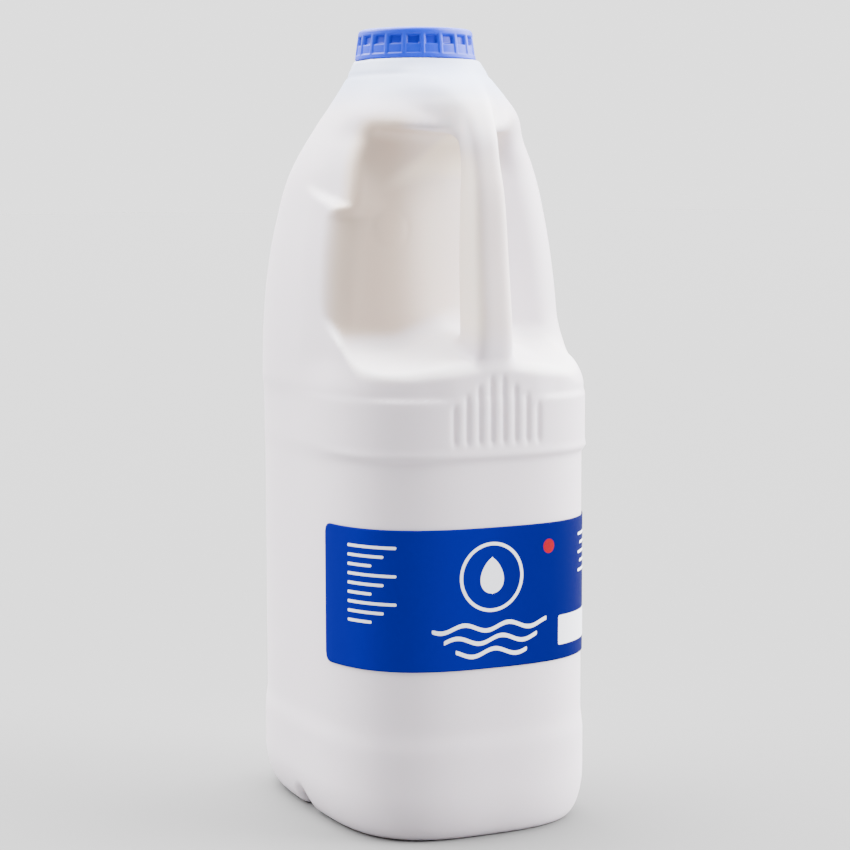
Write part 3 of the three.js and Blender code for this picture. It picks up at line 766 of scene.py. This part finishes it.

# %% Where painted light makes it whiter
LEDGE_FOOT_Z, LEDGE_OVER_FLOOR, LEDGE_Y = (150, 154), (5, -2), (-18, -25)
LEDGE_OFF_HANDLE, LEDGE_OFF_RECESS = (0, 3), (5, 2)
HANDLE_TOP, HANDLE_TOP_X, HANDLE_TOP_Y = 0.8, (14, 8), (-28, -36)
HANDLE_TOP_FOOT_Z, HANDLE_TOP_HEAD_Z = (226, 236), (250, 243)
# Painted light: the up-facing ledge and the top of the handle are whitened.
on_ledge = ramp(*LEDGE_FOOT_Z, z) * ramp(*LEDGE_OVER_FLOOR, over_floor) * ramp(*LEDGE_Y, y)
on_ledge = on_ledge * ramp(*LEDGE_OFF_HANDLE, handle_field(x, y, z)) * ramp(*LEDGE_OFF_RECESS, off_recess)
handle_top = ramp(*HANDLE_TOP_FOOT_Z, z) * ramp(*HANDLE_TOP_HEAD_Z, z)
handle_top = HANDLE_TOP * handle_top * ramp(*HANDLE_TOP_Y, y) * ramp(*HANDLE_TOP_X, np.abs(x))
print("points on the ledge", int((on_ledge > 0.5).sum()))

# %% Where more light comes through
LIT_EDGE_X, LIT_EDGE_Z, LIT_EDGE_SLOPE, LIT_EDGE_SOFT = -16, 222, 1.15, (-3, 6)
LIT_FOOT_Z, LIT_RIGHT_X = (212, 222), (24, 8)
PALE, PALE_LEFT_X, PALE_RIGHT_X, PALE_OVER_FLOOR = 0.5, (-22, -4), (18, 8), (0, 8)
HANDLE_LIT, HANDLE_LIT_X = 1.5, (-3, -6)
NECK_COOLS_Z = (238, 252)
# Painted light: the recess wall goes paler right of a slanting edge where the handle's shadow ends, and
# across its middle; the handle's left side goes paler too.
past_edge = x - LIT_EDGE_X - LIT_EDGE_SLOPE * (z - LIT_EDGE_Z)
wall_lit = near_wall * ramp(*LIT_EDGE_SOFT, past_edge) * ramp(*LIT_FOOT_Z, z) * ramp(*LIT_RIGHT_X, x)
wall_pale = PALE * near_wall * ramp(*PALE_LEFT_X, x) * ramp(*PALE_RIGHT_X, x)
wall_pale = wall_pale * ramp(*PALE_OVER_FLOOR, over_floor)
handle_lit = HANDLE_LIT * on_handle * ramp(*HANDLE_LIT_X, x)
tint_and_light_shares = {
    "recess_shade_share": np.maximum(in_hollow, on_handle) * (1 - on_ledge),
    "lit_share": np.maximum(np.maximum(wall_lit, wall_pale), handle_lit),
    "ledge_light_share": np.maximum(on_ledge, handle_top),
    "neck_share": ramp(*NECK_COOLS_Z, z),
}
for name, share in tint_and_light_shares.items():
    keep_per_point(bottle, name, share)
    print(name, round(float(share.mean()), 3))

# %% [markdown]
# ## Milky polyethylene
# The bottle is blow-moulded, unpigmented HDPE full of milk. It gives the eye a satin off-white that lets a
# little light in and scatters it, with a gloss that changes from patch to patch and the faint grain of the
# mould. Real refraction through a wall and milk would be slow and noisy, so a little subsurface scattering
# stands for it.

# %% Bottle finish
BODY_WHITE = linear("#DBD2DA")
BODY_TINTS_AND_PAINTED_LIGHT = {"recess_shade_share": "#CCB9AA", "lit_share": "#F6E9D8", "ledge_light_share": "#F8F2F5",
              "neck_share": "#BFC9E6"}
SCATTER_DEPTHS = (6, 5, 4.5)
# The mould's real grain is too fine to show at this distance, so it is drawn coarser.
PATCH_SIZE, MOULD_GRAIN, MOULD_GRAIN_DEPTH = 20, 2.2, 0.2
milky, shader, place = finish_start(
    "blow_moulded_hdpe", IOR=1.54, Subsurface_Weight=0.3, Subsurface_Scale=1.0,
    Subsurface_Radius=[depth * MM for depth in SCATTER_DEPTHS])
colour = BODY_WHITE
# The shares mix painted shade, painted light and the neck's own bluish tint over the white.
for name, tint in BODY_TINTS_AND_PAINTED_LIGHT.items():
    share = node(milky, "ShaderNodeAttribute", {"attribute_name": name}).outputs["Fac"]
    colour = node(milky, "ShaderNodeMix", TWO_COLOURS, i0=share, i6=colour, i7=linear(tint)).outputs[2]
patchy = node(milky, "ShaderNodeTexNoise", Vector=place,
              Scale=1 / (PATCH_SIZE * MM), Detail=2.0, Roughness=0.5)
gloss = node(milky, "ShaderNodeMapRange", Value=patchy.outputs["Fac"], To_Min=0.38, To_Max=0.48)
fine = node(milky, "ShaderNodeTexNoise", Vector=place,
            Scale=1 / (MOULD_GRAIN * MM), Detail=3.0, Roughness=0.5)
bump = node(milky, "ShaderNodeBump", Height=fine.outputs["Fac"],
            Strength=0.05, Distance=MOULD_GRAIN_DEPTH * MM)
feed(milky, shader, Base_Color=colour, Roughness=gloss.outputs["Result"], Normal=bump.outputs["Normal"])
bottle.data.materials.append(milky)
print("bottle finish with", len(milky.node_tree.nodes), "nodes")

# %% [markdown]
# ## Cap plastic
# The cap is injection-moulded blue polyethylene. It gives the eye a satin skin with a faint mottle, and
# painted shade deepens its blue down in the pockets. The pockets are real hollows, and the painted shade
# only helps their shade along.

# %% Cap finish
CAP_BLUE, CAP_POCKET_SHADE = linear("#0832CC"), linear("#0020B8")
# The mottle too is drawn coarser than it is, so that it shows.
MOTTLE_SIZE, MOTTLE_DEPTH = 1.5, 0.2
cap_blue, shader, place = finish_start("moulded_blue_cap_hdpe", IOR=1.45, Specular_IOR_Level=0.3)
# Painted shade deepens the blue in the pockets.
share = node(cap_blue, "ShaderNodeAttribute", {"attribute_name": "pocket_shade_share"}).outputs["Fac"]
colour = node(cap_blue, "ShaderNodeMix", TWO_COLOURS, i0=share, i6=CAP_BLUE, i7=CAP_POCKET_SHADE).outputs[2]
mottle = node(cap_blue, "ShaderNodeTexNoise", Vector=place,
              Scale=1 / (MOTTLE_SIZE * MM), Detail=3.0, Roughness=0.6)
gloss = node(cap_blue, "ShaderNodeMapRange", Value=mottle.outputs["Fac"], To_Min=0.32, To_Max=0.44)
bump = node(cap_blue, "ShaderNodeBump", Height=mottle.outputs["Fac"],
            Strength=0.06, Distance=MOTTLE_DEPTH * MM)
feed(cap_blue, shader, Base_Color=colour, Roughness=gloss.outputs["Result"], Normal=bump.outputs["Normal"])
cap.data.materials.append(cap_blue)
print("cap finish with", len(cap_blue.node_tree.nodes), "nodes")

# %% [markdown]
# ## Label film
# The label is printed film under a matt varnish. It gives the eye a deep blue that shows no sharp
# reflections, with flat white and red ink on it and the film's fine grain. The ink is drawn from the
# distances that the label keeps, so its edge stays sharp when it is seen close.

# %% Label finish
LABEL_BLUE, LABEL_SHADE_BLUE = linear("#000C7A"), linear("#000548")
INKS = {"ink_gap": "#E6E6EE", "seal_gap": "#8E0A1E"}
# The film's grain too is drawn coarser than it is, so that it shows.
INK_EDGE, FILM_GRAIN, FILM_GRAIN_DEPTH = 0.08, 1.2, 0.1
film_blue, shader, place = finish_start("printed_label_film", IOR=1.45, Specular_IOR_Level=0.02)
# Painted shade darkens the blue towards the label's ends.
share = node(film_blue, "ShaderNodeAttribute", {"attribute_name": "label_shade_share"}).outputs["Fac"]
colour = node(film_blue, "ShaderNodeMix", TWO_COLOURS, i0=share, i6=LABEL_BLUE, i7=LABEL_SHADE_BLUE).outputs[2]
for name, ink_colour in INKS.items():
    gap = node(film_blue, "ShaderNodeAttribute", {"attribute_name": name}).outputs["Fac"]
    inked = node(film_blue, "ShaderNodeMapRange", {"clamp": True}, Value=gap,
                 From_Min=INK_EDGE, From_Max=-INK_EDGE)
    colour = node(film_blue, "ShaderNodeMix", TWO_COLOURS,
                  i0=inked.outputs["Result"], i6=colour, i7=linear(ink_colour)).outputs[2]
grain = node(film_blue, "ShaderNodeTexNoise", Vector=place,
             Scale=1 / (FILM_GRAIN * MM), Detail=3.0, Roughness=0.5)
gloss = node(film_blue, "ShaderNodeMapRange", Value=grain.outputs["Fac"], To_Min=0.42, To_Max=0.58)
bump = node(film_blue, "ShaderNodeBump", Height=grain.outputs["Fac"],
            Strength=0.04, Distance=FILM_GRAIN_DEPTH * MM)
feed(film_blue, shader, Base_Color=colour, Roughness=gloss.outputs["Result"], Normal=bump.outputs["Normal"])
label.data.materials.append(film_blue)
print("label finish with", len(film_blue.node_tree.nodes), "nodes")

# %% [markdown]
# ## Who stands for what
# Every piece rides on the one body and hides the CAD node it stands for, which stays for collision.

# %% Ride and replace
stands_for = ((bottle, "bottle", "bottle_plastic"), (cap, "cap", "cap_plastic"),
              (label, "label", "label_film"))
for piece, name, slot in stands_for:
    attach(piece, "root")
    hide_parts(name)
    print(piece.name, "stands for", name)

# %% [markdown]
# ## Floor
# The jug stands on a plain pale floor, so wide that its edge is the horizon.

# %% Floor
FLOOR_REACH = 40000.0
span = np.array([-FLOOR_REACH, FLOOR_REACH])
floor_points = np.stack([*np.meshgrid(span, span), np.zeros((2, 2))], axis=-1).reshape(-1, 3)
floor = mesh_piece("floor", floor_points, grid_quads(2, 2))
pale = finish_start("pale_floor_paint", Base_Color=linear("#767676"), Roughness=0.9, IOR=1.3)[0]
floor.data.materials.append(pale)
print("floor", round(2 * FLOOR_REACH * MM), "m wide")

# %% [markdown]
# ## Light
# The jug stands inside a soft light tent: bright panels a little behind it on both sides and overhead, an
# even pale backdrop, and little light from the front. Area lamps could do this, but they would show as white
# boxes from some sides. Here the world itself glows by direction: each panel is a soft spot round one axis,
# full within one angle and gone beyond another. A pale band along the horizon keeps the room from going
# black in views from other sides.

# %% Light tent
CAMERA_TURN = math.radians(25.16)
# Each panel: degrees round from the camera's side, degrees up, full within, gone beyond, glow.
PANELS = {
    "left overhead": (-110, 55, 15, 45, 17.2),
    "right side": (108, 27, 15, 45, 14.8),
    "right key": (80, 36, 6, 20, 24.5),
    "overhead behind": (180, 55, 15, 45, 10.0),
    "backdrop": (180, 0, 50, 75, 2.25),
}
# The horizon's band: the sine of the height where it is full, where it is gone, and its glow.
HORIZON_FULL, HORIZON_GONE, HORIZON_GLOW = 0.08, 0.16, 2.0
DOT, SOFT = {"operation": "DOT_PRODUCT"}, {"interpolation_type": "SMOOTHSTEP"}
world = bpy.data.worlds.new("light_tent")
bpy.context.scene.world = world
world.use_nodes = True
glow = world.node_tree.nodes["Background"]
glow.inputs["Color"].default_value = (1, 1, 1, 1)
look = node(world, "ShaderNodeTexCoord").outputs["Generated"]
total = 0.0
for round_angle, up_angle, full, gone, strength in PANELS.values():
    heading = math.radians(round_angle) - CAMERA_TURN - math.pi / 2
    up = math.radians(up_angle)
    axis = (math.cos(heading) * math.cos(up), math.sin(heading) * math.cos(up), math.sin(up))
    near = node(world, "ShaderNodeVectorMath", DOT, i0=look, i1=axis).outputs["Value"]
    spot = node(world, "ShaderNodeMapRange", SOFT, Value=near, From_Min=math.cos(math.radians(gone)),
                From_Max=math.cos(math.radians(full)), To_Max=strength).outputs["Result"]
    total = node(world, "ShaderNodeMath", {"operation": "ADD"}, i0=spot, i1=total).outputs["Value"]
height = node(world, "ShaderNodeVectorMath", DOT, i0=look, i1=(0, 0, 1)).outputs["Value"]
band = node(world, "ShaderNodeMapRange", SOFT, Value=height, From_Min=HORIZON_GONE, From_Max=HORIZON_FULL,
            To_Max=HORIZON_GLOW).outputs["Result"]
total = node(world, "ShaderNodeMath", {"operation": "MAXIMUM"}, i0=band, i1=total).outputs["Value"]
world.node_tree.links.new(total, glow.inputs["Strength"])
print("panels:", ", ".join(PANELS))

# %% [markdown]
# ## Camera
# The camera looks at the jug's front left from above its middle. Its place and lens were worked out from the
# outline of the jug, and a small shift puts the jug where it belongs in the frame.

# %% Camera
CAMERA_DROP, CAMERA_ROLL = math.radians(5.90), math.radians(0.17)
CAMERA_DISTANCE, CAMERA_HEIGHT, SENSOR_WIDTH = 755.9, 210.2, 36
FOCAL_PIXELS, MIDDLE_PIXEL, FRAME_PIXELS = 2168.43, 419.35, 850
lens = bpy.data.cameras.new("camera")
lens.sensor_width = SENSOR_WIDTH
lens.lens = SENSOR_WIDTH * FOCAL_PIXELS / FRAME_PIXELS
lens.shift_x = (FRAME_PIXELS / 2 - MIDDLE_PIXEL) / FRAME_PIXELS
camera = bpy.data.objects.new("camera", lens)
bpy.context.scene.collection.objects.link(camera)
back_x, back_y = math.sin(CAMERA_TURN) * CAMERA_DISTANCE, math.cos(CAMERA_TURN) * CAMERA_DISTANCE
stand = Matrix.Translation(Vector((-back_x, -back_y, CAMERA_HEIGHT)) * MM)
pan = Matrix.Rotation(-CAMERA_TURN, 4, "Z")
tilt = Matrix.Rotation(math.pi / 2 - CAMERA_DROP, 4, "X")
camera.matrix_world = stand @ pan @ tilt @ Matrix.Rotation(-CAMERA_ROLL, 4, "Z")
bpy.context.scene.camera = camera
print("lens", round(lens.lens, 1), "mm")
